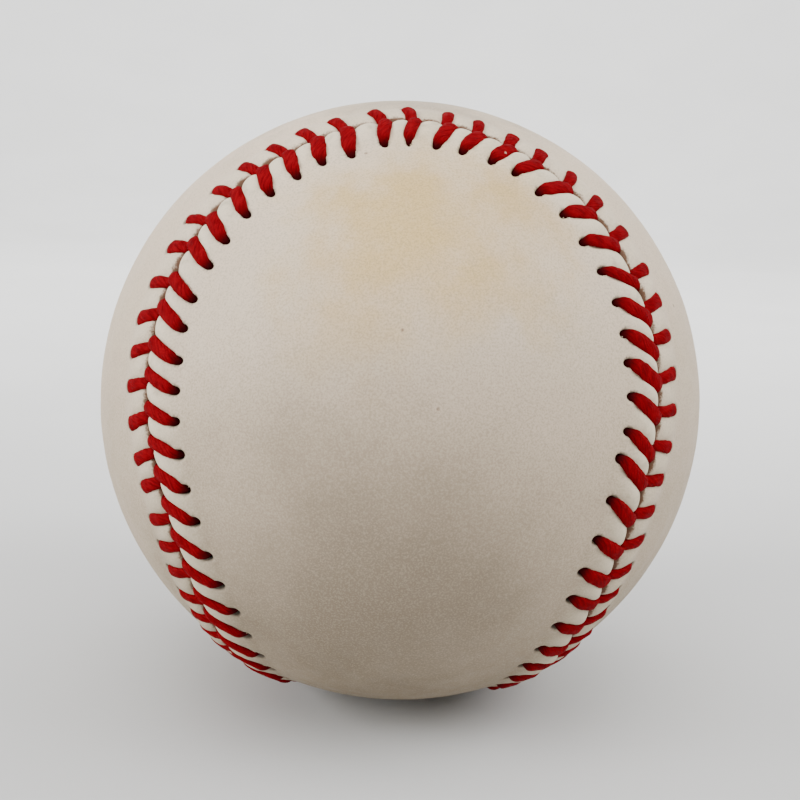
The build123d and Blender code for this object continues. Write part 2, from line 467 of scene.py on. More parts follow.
class NodeTree:
    """A small helper that adds and joins the shader nodes of one material."""

    def __init__(self, name: str) -> None:
        """Start a material with an empty tree, a surface shader and an output.

        Args:
            name: the material's name.
        """
        self.material = bpy.data.materials.new(name)
        self.material.use_nodes = True
        self.tree = self.material.node_tree
        self.tree.nodes.clear()
        self.shader = self.add("ShaderNodeBsdfPrincipled")
        output = self.add("ShaderNodeOutputMaterial")
        self.tree.links.new(self.shader.outputs["BSDF"], output.inputs["Surface"])

    def add(self, kind: str, **values: object) -> bpy.types.Node:
        """Add one node.

        Args:
            kind: the node's type name.
            values: the node's own settings.

        Returns:
            The node.
        """
        node = self.tree.nodes.new(kind)
        for name, value in values.items():
            setattr(node, name, value)
        return node

    def feed(self, socket: bpy.types.NodeSocket, value: object) -> None:
        """Join a socket to another one, or set its value.

        Args:
            socket: the socket that takes the value.
            value: another socket, or a plain value.
        """
        if isinstance(value, bpy.types.NodeSocket):
            self.tree.links.new(value, socket)
        else:
            socket.default_value = value

    def place(self) -> bpy.types.NodeSocket:
        """Coordinates of a point in the object's own frame, in metres."""
        return self.add("ShaderNodeTexCoord").outputs["Object"]

    def away(self, place: object, centre: Point) -> bpy.types.NodeSocket:
        """Distance of a point from a fixed one.

        Args:
            place: the coordinates.
            centre: the fixed point in millimetres.

        Returns:
            The socket of the distance, in metres.
        """
        node = self.add("ShaderNodeVectorMath", operation="DISTANCE")
        self.feed(node.inputs[0], place)
        node.inputs[1].default_value = [v * MM for v in centre]
        return node.outputs["Value"]

    def noise(
        self, place: object, size: float, detail: float = 2.0, rough: float = 0.5
    ) -> bpy.types.NodeSocket:
        """Soft noise.

        Args:
            place: the coordinates.
            size: size of its features in millimetres.
            detail: number of finer layers.
            rough: strength of the finer layers.

        Returns:
            The noise's socket, about 0.5 on average.
        """
        node = self.add("ShaderNodeTexNoise")
        self.feed(node.inputs["Vector"], place)
        node.inputs["Scale"].default_value = 1.0 / (size * MM)
        node.inputs["Detail"].default_value = detail
        node.inputs["Roughness"].default_value = rough
        return node.outputs["Fac"]

    def cells(self, place: object, size: float, output: str = "Distance") -> bpy.types.NodeSocket:
        """Cells of about one size.

        Args:
            place: the coordinates.
            size: size of a cell in millimetres.
            output: name of the output that is read.

        Returns:
            The socket of that output.
        """
        node = self.add("ShaderNodeTexVoronoi")
        self.feed(node.inputs["Vector"], place)
        node.inputs["Scale"].default_value = 1.0 / (size * MM)
        return node.outputs[output]

    def span(
        self,
        value: object,
        low: float,
        high: float,
        start: float = 0.0,
        end: float = 1.0,
        kind: str = "SMOOTHSTEP",
    ) -> bpy.types.NodeSocket:
        """Read a value between two limits as another range.

        Args:
            value: the socket that is read.
            low: the value that gives start.
            high: the value that gives end.
            start: the result at low.
            end: the result at high.
            kind: how the result goes from one end to the other.

        Returns:
            The result's socket.
        """
        node = self.add("ShaderNodeMapRange", interpolation_type=kind)
        for name, number in (("From Min", low), ("From Max", high), ("To Min", start), ("To Max", end)):
            node.inputs[name].default_value = number
        self.feed(node.inputs["Value"], value)
        return node.outputs["Result"]

    def maths(self, operation: str, first: object, second: object = 0.0) -> bpy.types.NodeSocket:
        """Work out one sum.

        Args:
            operation: the sum's name.
            first: its first value.
            second: its second value.

        Returns:
            The result's socket.
        """
        node = self.add("ShaderNodeMath", operation=operation)
        self.feed(node.inputs[0], first)
        self.feed(node.inputs[1], second)
        return node.outputs["Value"]

    def mix(self, share: object, first: object, second: object) -> bpy.types.NodeSocket:
        """Two colours, mixed.

        Args:
            share: share of the second colour.
            first: the first colour, as a socket or as red, green and blue.
            second: the second colour.

        Returns:
            The mixed colour's socket.
        """
        node = self.add("ShaderNodeMix", data_type="RGBA")
        self.feed(node.inputs["Factor"], share)
        for name, colour in (("A", first), ("B", second)):
            socket = next(s for s in node.inputs if s.name == name and s.type == "RGBA")
            self.feed(socket, colour if isinstance(colour, bpy.types.NodeSocket) else (*colour, 1.0))
        return next(s for s in node.outputs if s.type == "RGBA")

    def split(self, value: object, kind: str, output: str) -> bpy.types.NodeSocket:
        """Take one part of a colour or of coordinates.

        Args:
            value: the socket of the whole.
            kind: what the whole is, Color or XYZ.
            output: name of the part.

        Returns:
            The part's socket.
        """
        node = self.add("ShaderNodeSeparate" + kind)
        self.feed(node.inputs[0], value)
        return node.outputs[output]

    def painted(self, name: str) -> bpy.types.NodeSocket:
        """A value that the mesh carries at each of its points."""
        return self.add("ShaderNodeAttribute", attribute_name=name).outputs["Fac"]

    def bump(
        self, height: object, depth: float, strength: float = 1.0, under: object = None
    ) -> bpy.types.NodeSocket:
        """A surface that rises and falls with a value.

        Args:
            height: the socket of the height, from 0 to 1.
            depth: depth of the relief in millimetres.
            strength: how much of it is used.
            under: a relief that this one lies on.

        Returns:
            The socket of the surface's direction.
        """
        node = self.add("ShaderNodeBump")
        node.inputs["Distance"].default_value = depth * MM
        node.inputs["Strength"].default_value = strength
        self.feed(node.inputs["Height"], height)
        if under is not None:
            self.feed(node.inputs["Normal"], under)
        return node.outputs["Normal"]

    def surface(self, **sockets: object) -> bpy.types.Material:
        """Set the shader's sockets and return the material.

        Args:
            sockets: values or sockets, with spaces in their names written as underscores.

        Returns:
            The material.
        """
        for name, value in sockets.items():
            if isinstance(value, tuple) and len(value) == 3:
                value = (*value, 1.0)
            self.feed(self.shader.inputs[name.replace("_", " ")], value)
        return self.material


@dataclass(frozen=True)
class Patch:
    """A soft patch of another colour on the leather, in linear colours and millimetres.

    Its share is that at its middle, and broken is how far noise moves its edge.
    """

    centre: Point
    reach: float
    colour: Colour
    share: float
    broken: float = 0.0


@dataclass(frozen=True)
class LeatherFinish:
    """Off-white alum-tanned leather, used and scuffed, with painted shade towards the bottom, on the crown,
    front middle and lower front, in the seam's groove and in the needle holes, in linear colours and
    millimetres.
    """

    name: str = "worn_white_leather"
    clean: Colour = (0.76, 0.615, 0.46)
    tired: Colour = (0.66, 0.53, 0.40)
    lip: Colour = (0.78, 0.69, 0.515)
    # Colour of the soiling towards the bottom, which is partly painted shade, and of the scuffs and the fine
    # speckle.
    grime_and_low_shade: Colour = (0.225, 0.173, 0.111)
    # Soiling and painted shade in the seam's groove, and the colour of the dark dots.
    dirt_and_crease_shade: Colour = (0.14, 0.066, 0.034)
    # Painted shade, near black, in the needle holes.
    hole_shade: Colour = (0.012, 0.007, 0.006)
    stain: Patch = Patch((1.2, -28.5, 23.5), 19.0, (0.6, 0.416, 0.172), 0.98, 3.0)
    # Patches of painted shade on the lower front, the crown and the front middle.
    lower_front_shade: Patch = Patch((-3.0, -31.5, -17.5), 34.0, (0.125, 0.094, 0.06), 0.61)
    crown_shade: Patch = Patch((0.0, 1.5, 37.0), 21.0, (0.42, 0.347, 0.257), 0.85, 4.0)
    front_middle_shade: Patch = Patch((0.5, -36.5, 1.0), 27.0, (0.45, 0.357, 0.264), 0.6)
    # Heights between which the soiling with painted shade towards the bottom and the cleaner lips fade, and
    # their shares of the colour.
    grime_and_shade_from: float = 30.0
    grime_and_shade_full: float = -32.0
    grime_and_shade_share: float = 0.86
    patch_core: float = 3.0
    dot_spacing: float = 4.5
    speckle_share: float = 0.3
    lip_low: float = -30.0
    lip_high: float = 5.0
    lip_low_share: float = 0.47
    lip_high_share: float = 0.58

    def material(self) -> bpy.types.Material:
        """Build the leather's shader.

        Returns:
            The material.
        """
        tree = NodeTree(self.name)
        place = tree.place()
        mottle = tree.noise(place, 2.2, 3.0, 0.6)
        speckle = tree.noise(place, 0.2, 2.0, 0.6)
        height = tree.split(place, "XYZ", "Z")
        colour = self._ground(tree, place, height, mottle)
        colour = self._specks(tree, place, speckle, colour)

        kept = tree.span(
            height, self.lip_low * MM, self.lip_high * MM, self.lip_low_share, self.lip_high_share
        )
        colour = tree.mix(tree.maths("MULTIPLY", tree.painted("lip"), kept), colour, self.lip)
        uneven = tree.span(mottle, 0.35, 0.65, -0.22, 0.22)
        ragged = tree.maths("ADD", uneven, tree.span(speckle, 0.35, 0.65, -0.1, 0.1))
        # Soiling and painted shade in the seam's groove, made ragged by noise.
        dirt_and_shade_share = tree.maths("ADD", tree.painted("dirt_and_crease_shade"), ragged)
        colour = tree.mix(tree.span(dirt_and_shade_share, 0.33, 0.9), colour, self.dirt_and_crease_shade)
        scuffs = tree.span(tree.noise(place, 1.3, 3.0), 0.52, 0.78, 0.0, 0.4)
        colour = tree.mix(tree.maths("MULTIPLY", tree.painted("lip"), scuffs), colour, self.grime_and_low_shade)
        # Painted shade in the needle holes.
        colour = tree.mix(tree.painted("hole"), colour, self.hole_shade)

        grain = tree.bump(tree.cells(place, 0.4), 0.025, 0.4)
        grain = tree.bump(tree.noise(place, 0.22, 3.0, 0.6), 0.03, 0.6, grain)
        grain = tree.bump(mottle, 0.10, 0.5, grain)
        return tree.surface(
            Base_Color=colour,
            Roughness=tree.span(mottle, 0.3, 0.7, 0.52, 0.68),
            Normal=grain,
            Specular_IOR_Level=0.32,
        )

    def _ground(self, tree: NodeTree, place: object, height: object, mottle: object) -> bpy.types.NodeSocket:
        """Colour the smooth leather: its own tones, soiling and painted shade that darken it towards the
        bottom, the stain and the patches of painted shade.

        Args:
            tree: the leather's nodes.
            place: the coordinates.
            height: the coordinate upwards.
            mottle: the noise of its small tones.

        Returns:
            The colour's socket.
        """
        blotch = tree.noise(place, 14.0, 4.0, 0.55)
        colour = tree.mix(tree.span(blotch, 0.36, 0.66), self.clean, self.tired)
        colour = tree.mix(tree.maths("MULTIPLY", tree.span(mottle, 0.45, 0.75), 0.35), colour, self.tired)
        # Soiling and painted shade, darker towards the bottom, with a wavy edge.
        low = tree.maths("ADD", height, tree.span(blotch, 0.3, 0.7, -8.0 * MM, 8.0 * MM))
        dirt_and_low_shade = tree.span(low, self.grime_and_shade_full * MM, self.grime_and_shade_from * MM, self.grime_and_shade_share, 0.0, "LINEAR")
        colour = tree.mix(dirt_and_low_shade, colour, self.grime_and_low_shade)
        wavy = tree.span(blotch, 0.3, 0.7, -3.0 * MM, 3.0 * MM)
        cloud = tree.noise(place, 6.0, 3.0, 0.6)
        # The first patch is a real stain; the other three are painted shade.
        for patch in (self.stain, self.crown_shade, self.front_middle_shade, self.lower_front_shade):
            spread = tree.maths("ADD", tree.away(place, patch.centre), wavy)
            torn = tree.span(cloud, 0.3, 0.7, -patch.broken * MM, patch.broken * MM)
            spread = tree.maths("ADD", spread, torn)
            there = tree.span(spread, self.patch_core * MM, patch.reach * MM, patch.share, 0.0)
            colour = tree.mix(there, colour, patch.colour)
        return colour

    def _specks(self, tree: NodeTree, place: object, speckle: object, colour: object) -> bpy.types.NodeSocket:
        """Add a few dark dots, and a fine speckle of dirt and of bare leather.

        Args:
            tree: the leather's nodes.
            place: the coordinates.
            speckle: the finest noise.
            colour: the colour so far.

        Returns:
            The new colour's socket.
        """
        chance = tree.split(tree.cells(place, self.dot_spacing, "Color"), "Color", "Red")
        middle = tree.span(tree.cells(place, self.dot_spacing), 0.02, 0.06, 0.7, 0.0)
        dot = tree.maths("MULTIPLY", middle, tree.span(chance, 0.62, 0.7))
        colour = tree.mix(dot, colour, self.dirt_and_crease_shade)
        fine = tree.span(speckle, 0.3, 0.7, -self.speckle_share, self.speckle_share)
        colour = tree.mix(tree.maths("MAXIMUM", fine, 0.0), colour, self.grime_and_low_shade)
        pale = tree.maths("MULTIPLY", tree.maths("MINIMUM", fine, 0.0), -0.5)
        return tree.mix(pale, colour, self.lip)


@dataclass(frozen=True)
class ThreadFinish:
    """Red waxed cotton thread, with a short nap, and with painted shade where it goes into the leather and in
    the grooves between its plies.
    """

    name: str = "red_waxed_thread"
    red: Colour = (0.222, 0.001, 0.005)
    # A darker red for the nap and the patches, and for the painted shade in the grooves between the plies.
    deep_red_and_groove_shade: Colour = (0.112, 0.0005, 0.003)
    # Painted shade where the thread goes into a hole or under the leather.
    tucked_shade: Colour = (0.04, 0.001, 0.002)
    lint: Colour = (0.56, 0.36, 0.28)

    def material(self) -> bpy.types.Material:
        """Build the thread's shader.

        Returns:
            The material.
        """
        tree = NodeTree(self.name)
        place = tree.place()
        along, turn = tree.painted("strand_along"), tree.painted("strand_turn")
        helix = tree.maths("ADD", tree.maths("MULTIPLY", turn, 16.0), tree.maths("MULTIPLY", along, 2.4))
        strand = tree.add("ShaderNodeCombineXYZ")
        tree.feed(strand.inputs["X"], tree.maths("MULTIPLY", along, 0.9))
        tree.feed(strand.inputs["Y"], helix)
        ply_grooves = tree.noise(strand.outputs["Vector"], 1000.0, 3.0, 0.6)
        nap = tree.noise(place, 0.13, 3.0, 0.65)
        patch = tree.noise(place, 1.1, 2.0)
        # Darker along the twist: painted shade in the grooves between the plies.
        colour = tree.mix(tree.span(ply_grooves, 0.32, 0.62), self.deep_red_and_groove_shade, self.red)
        colour = tree.mix(tree.span(nap, 0.5, 0.75, 0.0, 0.45), colour, self.deep_red_and_groove_shade)
        colour = tree.mix(tree.span(patch, 0.45, 0.75, 0.0, 0.4), colour, self.deep_red_and_groove_shade)
        # Painted shade where the thread goes into a hole or under the leather.
        colour = tree.mix(tree.painted("tuck_shade"), colour, self.tucked_shade)
        fluff = tree.maths("MULTIPLY", tree.painted("lint"), tree.span(nap, 0.3, 0.6, 0.7, 1.0))
        colour = tree.mix(tree.span(fluff, 0.5, 0.7, 0.0, 0.8), colour, self.lint)
        return tree.surface(
            Base_Color=colour,
            Roughness=0.75,
            Normal=tree.bump(nap, 0.05, 0.5, tree.bump(ply_grooves, 0.09, 0.7)),
            Specular_IOR_Level=0.03,
        )


@dataclass(frozen=True)
class YarnFinish:
    """Yarn or thread that is wound on in all directions."""

    name: str
    light: Colour
    dark: Colour
    strand: float
    turns: tuple[Point, Point] = ((0.4, 0.9, 0.0), (-0.7, 0.3, 1.1))

    def material(self) -> bpy.types.Material:
        """Build the wound yarn's shader, with strands that cross.

        Returns:
            The material.
        """
        tree = NodeTree(self.name)
        place = tree.place()
        heights = []
        for turn in self.turns:
            mapping = tree.add("ShaderNodeMapping")
            tree.feed(mapping.inputs["Vector"], place)
            mapping.inputs["Rotation"].default_value = turn
            wave = tree.add("ShaderNodeTexWave")
            tree.feed(wave.inputs["Vector"], mapping.outputs["Vector"])
            wave.inputs["Scale"].default_value = 0.16 / (self.strand * MM)
            wave.inputs["Distortion"].default_value = 3.0
            wave.inputs["Detail Scale"].default_value = 1.5
            heights.append(wave.outputs["Fac"])
        over = tree.span(tree.noise(place, 9.0), 0.45, 0.55)
        crossing = tree.add("ShaderNodeMix", data_type="FLOAT")
        tree.feed(crossing.inputs[0], over)
        tree.feed(crossing.inputs[2], heights[0])
        tree.feed(crossing.inputs[3], heights[1])
        fuzz = tree.noise(place, 0.3, 4.0, 0.7)
        colour = tree.mix(crossing.outputs[0], self.dark, self.light)
        colour = tree.mix(tree.span(fuzz, 0.4, 0.8, 0.0, 0.4), colour, self.light)
        relief = tree.bump(fuzz, 0.1, 0.6, tree.bump(crossing.outputs[0], self.strand * 0.6, 0.9))
        return tree.surface(Base_Color=colour, Roughness=0.9, Normal=relief, Sheen_Weight=0.2)


@dataclass(frozen=True)
class RubberFinish:
    """Moulded rubber, matt, with a bloom on its surface."""

    name: str
    body: Colour
    bloom: Colour

    def material(self) -> bpy.types.Material:
        """Build the rubber's shader.

        Returns:
            The material.
        """
        tree = NodeTree(self.name)
        place = tree.place()
        haze = tree.noise(place, 6.0, 5.0, 0.6)
        colour = tree.mix(tree.span(haze, 0.4, 0.8, 0.0, 0.6), self.body, self.bloom)
        relief = tree.bump(tree.noise(place, 0.4, 3.0), 0.05, 0.4)
        rough = tree.span(haze, 0.3, 0.7, 0.55, 0.75)
        return tree.surface(Base_Color=colour, Roughness=rough, Normal=relief)


@dataclass(frozen=True)
class CorkFinish:
    """Pressed cork grains, bound with ground rubber."""

    name: str = "pressed_cork"
    light: Colour = (0.50, 0.31, 0.16)
    dark: Colour = (0.20, 0.10, 0.05)
    grain: float = 1.6

    def material(self) -> bpy.types.Material:
        """Build the cork's shader.

        Returns:
            The material.
        """
        tree = NodeTree(self.name)
        place = tree.place()
        shade = tree.split(tree.cells(place, self.grain, "Color"), "Color", "Red")
        colour = tree.mix(tree.span(shade, 0.2, 1.0), self.light, self.dark)
        edges = tree.cells(place, self.grain)
        relief = tree.bump(tree.noise(place, 0.3, 4.0), 0.1, 0.6, tree.bump(edges, 0.25, 0.7))
        return tree.surface(Base_Color=colour, Roughness=0.85, Normal=relief)


def mesh_object(name: str, points: np.ndarray, faces: Sequence[Sequence[int]]) -> bpy.types.Object:
    """Make a smooth mesh object.

    Args:
        name: the piece's name.
        points: coordinates in millimetres, one row each.
        faces: point numbers of each face.

    Returns:
        The object, in the scene.
    """
    mesh = bpy.data.meshes.new(name)
    mesh.from_pydata((points * MM).tolist(), [], [list(map(int, face)) for face in faces])
    mesh.polygons.foreach_set("use_smooth", [True] * len(mesh.polygons))
    mesh.update()
    piece = bpy.data.objects.new(name, mesh)
    bpy.context.scene.collection.objects.link(piece)
    return piece


def paint(piece: bpy.types.Object, name: str, values: np.ndarray) -> None:
    """Give each point of a piece a value that its material reads.

    Args:
        piece: the piece.
        name: the value's name.
        values: one number for each point.
    """
    layer = piece.data.attributes.new(name, "FLOAT", "POINT")
    layer.data.foreach_set("value", np.asarray(values, np.float32))


def tube_faces(rings: int, around: int, closed: bool = False, first: int = 0) -> Faces:
    """Faces between rings of points.

    Args:
        rings: number of rings.
        around: number of points on each ring.
        closed: whether the last ring joins the first.
        first: number of the first point.

    Returns:
        Point numbers of each four-sided face.
    """
    faces = []
    for ring in range(rings if closed else rings - 1):
        here = first + ring * around
        after = first + (ring + 1) % rings * around
        for column in range(around):
            beside = (column + 1) % around
            faces.append((here + column, here + beside, after + beside, after + column))
    return faces


@dataclass
class SewnPiece:
    """A piece of the cover: its name, the solid that it stands for and the sewing that it follows."""

    name: str
    node: str
    seam: Seam
    stitching: Stitching
    slot: ClassVar[str]

    def dress(self, piece: bpy.types.Object, finish: bpy.types.Material) -> None:
        """Give the piece its finish and its place in the ball.

        Args:
            piece: the piece's object.
            finish: its material.
        """
        piece.data.materials.append(finish)
        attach(piece, "root")
        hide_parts(self.node)


@dataclass
class LeatherPanel(SewnPiece):
    """One figure-eight panel, in millimetres: a raised, sewn lip all round and a smooth field inside it.

    Distances round a needle hole are counted in rims, with 1 at the hole's own edge.
    """

    side: Side
    lip: Lip
    slot: ClassVar[str] = "leather"
    thickness: float = 1.25
    # Rows of points on the raised lip, and the columns between two stitches.
    columns: int = 14
    nose_rows: int = 9
    slope_step: float = 0.25
    slope_beyond: float = 0.3
    outer_rows: tuple[float, ...] = (0.75, 1.3)
    # Rings of points in each needle hole, with how many there are on each, and the hole's own profile.
    hole_rings: tuple[tuple[float, int], ...] = ((0.0, 1), (0.4, 8), (0.72, 12), (0.98, 14), (1.25, 14))
    hole_clear: float = 1.5
    hole_wall: tuple[float, float] = (0.55, 1.06)
    rim_rise: float = 0.07
    rim_at: float = 1.5
    rim_reach: float = 0.35
    # Rows of the flesh side: distance from the seam, and rise over the smooth inside.
    lining_rows: tuple[tuple[float, float], ...] = (
        (0.12, 0.3),
        (1.1, 0.7),
        (2.2, 0.8),
        (3.8, 0.35),
        (5.3, 0.0),
    )
    lining_clear: float = 2.0
    # Points of the smooth fields: packing is the area of one as a share of its spacing squared.
    field_from: float = 7.2
    field_spacing: float = 0.95
    inner_spacing: float = 3.0
    packing: float = 0.866
    line_points: int = 2400
    # Heights of the soft unevenness and of the puckers by the stitches, with the scales of their noise.
    unevenness: float = 0.05
    swell_scale: float = 0.09
    dimple_scale: float = 0.31
    dimple_share: float = 0.5
    pucker: float = 0.045
    pucker_scale: float = 0.95
    pucker_fade: tuple[float, float] = (-1.0, 0.8)
    # Torn points beside the holes: each ring's share of the length, width and lift.
    nick_share: float = 0.5
    nick_length: float = 0.55
    nick_width: float = 0.2
    nick_rings: tuple[Point, ...] = ((0.0, 1.0, -0.15), (0.45, 0.7, 0.14), (1.0, 0.12, 0.2))
    nick_dirt: float = 0.45
    # Where the cleaner lips, the soiling and painted shade of the seam's groove and the painted shade of the
    # holes start and end: distances from the seam, and rims for the holes.
    clean_from: float = 1.2
    sides_clean: float = 0.5
    crease_fade: tuple[float, float] = (0.15, 0.75)
    sides_crease_fade: tuple[float, float] = (0.4, 1.2)
    hole_shade_fade: tuple[float, float] = (0.85, 1.12)

    def _rows(self) -> list[tuple[float, int]]:
        """Lay out the rows of points beside the seam.

        Returns:
            The distance of each row from the seam, and its step between columns.
        """
        turns = np.linspace(0.0, math.pi / 2, self.nose_rows)
        rows = [(self.lip.crest_at * (1.0 - math.cos(turn)), 1) for turn in turns]
        distance = self.lip.crest_at + self.slope_step
        while distance < self.lip.foot + self.slope_beyond:
            rows.append((distance, 1))
            distance += self.slope_step
        return rows + [(self.lip.foot + beyond, 2) for beyond in self.outer_rows]

    def _cell(
        self, stitch: np.ndarray, between: np.ndarray, distance: np.ndarray
    ) -> tuple[np.ndarray, np.ndarray]:
        """Place points of the leather between two legs.

        Args:
            stitch: number of the leg before each point.
            between: share of the way to the next leg.
            distance: distance from the seam line.

        Returns:
            Lengths along the seam, and how full the leather is.
        """
        sewn = self.stitching
        at = [sewn.hole_at(self.side, stitch + step) for step in (0, 1)]
        lean = []
        for step in (0, 1):
            share = 1.0 - distance / sewn.hole_out(self.side, stitch + step)
            lean.append(sewn.advance(self.side, stitch + step) * sewn.lean(share))
        along = at[0] + lean[0] + (at[1] + lean[1] - at[0] - lean[0]) * between
        return along, self.lip.fullness(between, sewn.puff(self.side, stitch))

    def _strip(self) -> tuple[np.ndarray, np.ndarray, np.ndarray]:
        """The sewn lip's points, its edge first.

        Returns:
            Lengths along the seam, distances from it, and rises.
        """
        stitches = np.arange(self.stitching.count)
        along, out, rise = [], [], []
        for distance, step in self._rows():
            stitch = np.repeat(stitches, self.columns // step)
            between = np.tile(np.arange(0, self.columns, step) / self.columns, len(stitches))
            here, fullness = self._cell(stitch, between, np.full(len(stitch), distance))
            fading = np.clip(1.0 - distance / self.lip.foot, 0.0, 1.0) ** 2
            along.append(here)
            out.append(distance + self.lip.edge(between, self.side) * fading)
            rise.append(self.lip.rise(np.full(len(stitch), distance), fullness))
        return np.concatenate(along), np.concatenate(out), np.concatenate(rise)

    def _hole_points(self) -> tuple[np.ndarray, np.ndarray]:
        """Place rings of points round and inside every needle hole.

        Returns:
            Lengths along the seam, and distances from it.
        """
        at, away = self._hole_middle(np.arange(self.stitching.count))
        along, out = [], []
        for ring, count in self.hole_rings:
            for turn in np.linspace(0.0, 2.0 * math.pi, count, endpoint=False):
                along.append(at + ring * self.lip.hole_half_width * math.cos(turn + ring))
                out.append(away + ring * self.lip.hole_half_length * math.sin(turn + ring))
        return np.concatenate(along), np.concatenate(out)

    def _hole_middle(self, stitch: np.ndarray) -> tuple[np.ndarray, np.ndarray]:
        """Length along the seam and distance from it of each needle hole's middle."""
        away = self.stitching.hole_out(self.side, stitch)
        return self.stitching.hole_at(self.side, stitch), away + self.lip.hole_beyond

    def _nearest_hole(self, along: np.ndarray, out: np.ndarray) -> np.ndarray:
        """Measure how far points are out of the nearest needle hole.

        Args:
            along: lengths along the seam.
            out: distances from it.

        Returns:
            The distances, in rims.
        """
        guess = np.floor(along / self.stitching.pitch).astype(int)
        best = np.full(len(along), np.inf)
        for step in (-2, -1, 0, 1, 2):
            middle = self._hole_middle(guess + step)
            best = np.minimum(best, self.lip.hole(along - middle[0], out - middle[1]))
        return best

    def _field(self, spacing: float, clear: float) -> np.ndarray:
        """Even points inside the panel.

        Args:
            spacing: distance between points.
            clear: least distance from the seam line.

        Returns:
            Unit vectors, one row for each point.
        """
        radius = self.seam.radius
        count = int(4.0 * math.pi * radius**2 / (self.packing * spacing**2))
        number = np.arange(count) + 0.5
        height = 1.0 - 2.0 * number / count
        turn = number * math.pi * (3.0 - math.sqrt(5.0))
        flat = np.sqrt(1.0 - height**2)
        points = np.stack((flat * np.cos(turn), flat * np.sin(turn), height), axis=1)
        samples = np.linspace(0.0, self.seam.length, self.line_points, endpoint=False)
        zero = np.zeros_like(samples)
        line = self.seam.at(samples, zero, zero)
        across = self.seam.at(samples, zero + 0.1 * self.side.value, zero) - line
        tree = kdtree.KDTree(len(line))
        for index, place in enumerate(line):
            tree.insert(place, index)
        tree.balance()
        kept = []
        for point in points * radius:
            _, index, distance = tree.find(point)
            if distance > clear and float((point - line[index]) @ across[index]) > 0.0:
                kept.append(point / radius)
        return np.array(kept)

    def _flattened(self, points: np.ndarray) -> list[tuple[float, float]]:
        """Lay points on a flat map of the ball that keeps angles, seen from the other panel's waist.

        Args:
            points: the points, one row each.

        Returns:
            Their places on the map.
        """
        direction = normalized(points)
        pole = 1.0 + self.side.value * direction[:, 2]
        return [tuple(p) for p in (direction[:, :2] / pole[:, None]).tolist()]

    def _filled(self, points: np.ndarray, edge: int) -> Faces:
        """Triangles between the points.

        Args:
            points: the points, with the panel's edge first.
            edge: number of points on that edge.

        Returns:
            Point numbers of each triangle, facing outwards.
        """
        flat = [Vector(p) for p in self._flattened(points)]
        ring = list(range(edge))
        sides = list(zip(ring, ring[1:] + ring[:1]))
        _, _, faces, origin, _, _ = delaunay_2d_cdt(flat, sides, [ring], 1, 1e-9)
        back = [source[0] for source in origin]
        triangles = np.array([[back[i] for i in face] for face in faces])
        first, second, third = (points[triangles[:, i]] for i in range(3))
        outward = np.einsum("ij,ij->i", np.cross(second - first, third - first), first)
        return [tuple(t if way > 0 else t[::-1]) for t, way in zip(triangles.tolist(), outward)]

    def _uneven(self, points: np.ndarray) -> np.ndarray:
        """Find the small soft hollows and swellings of hand-pulled leather.

        Args:
            points: the points, one row each.

        Returns:
            A height for each point, from about -1 to 1.
        """
        swells = np.array([noise.noise(Vector(p) * self.swell_scale) for p in points])
        dimples = np.array([noise.noise(Vector(p) * self.dimple_scale) for p in points])
        return swells + self.dimple_share * dimples

    def build(self) -> bpy.types.Object:
        """Make the panel's mesh, outside, edge and inside, and paint its wear.

        Returns:
            The panel.
        """
        along, out, rise = self._strip()
        edge = self.columns * self.stitching.count
        keep = self._nearest_hole(along, out) > self.hole_clear
        keep[:edge] = True
        ring_along, ring_out = self._hole_points()
        along = np.concatenate((along[keep], ring_along))
        out = np.concatenate((out[keep], ring_out))
        rise = np.concatenate((rise[keep], self._plain_rise(ring_out)))
        rims = self._nearest_hole(along, out)
        rise = rise - self.lip.hole_depth * (1.0 - smooth(rims, *self.hole_wall))
        rise = rise + self.rim_rise * np.exp(-(((rims - self.rim_at) / self.rim_reach) ** 2))
        strip = self.seam.at(along, self.side.value * out, rise)
        near = 1.0 - smooth(out, *(self.lip.foot + past for past in self.pucker_fade))
        near[:edge] = 0.0
        puckers = np.array([noise.noise(Vector(p) * self.pucker_scale) for p in strip])
        strip = strip + normalized(strip) * (self.pucker * near * puckers)[:, None]
        inside = self._field(self.field_spacing, self.field_from) * self.seam.radius
        outer = np.concatenate((strip, inside))
        faces = self._filled(outer, edge)
        outer = outer + normalized(outer) * (self.unevenness * self._uneven(outer))[:, None]

        inner, inner_faces, inner_edge = self._lining()
        base = len(outer)
        faces = faces + [tuple(base + i for i in face[::-1]) for face in inner_faces]
        faces = faces + self._edge_faces(edge, inner_edge, base)
        nicks, nick_faces = self._nicks()
        base += len(inner)
        faces = faces + [tuple(base + i for i in face) for face in nick_faces]
        piece = mesh_object(self.name, np.concatenate((outer, inner, nicks)), faces)
        self._paint_wear_and_shade(piece, out, rims, base + len(nicks), len(nicks))
        return piece

    def _nicks(self) -> tuple[np.ndarray, Faces]:
        """Small torn points of leather that stand up beside some of the needle holes.

        Returns:
            The points, and the faces of each closed little horn.
        """
        draw = np.random.default_rng(self.stitching.seed + 5 + self.side.value)
        points, faces = [], []
        for stitch in range(self.stitching.count):
            if draw.random() > self.nick_share:
                continue
            at, away = (float(v) for v in self._hole_middle(np.array(stitch)))
            turn = draw.uniform(-0.6, 1.2)
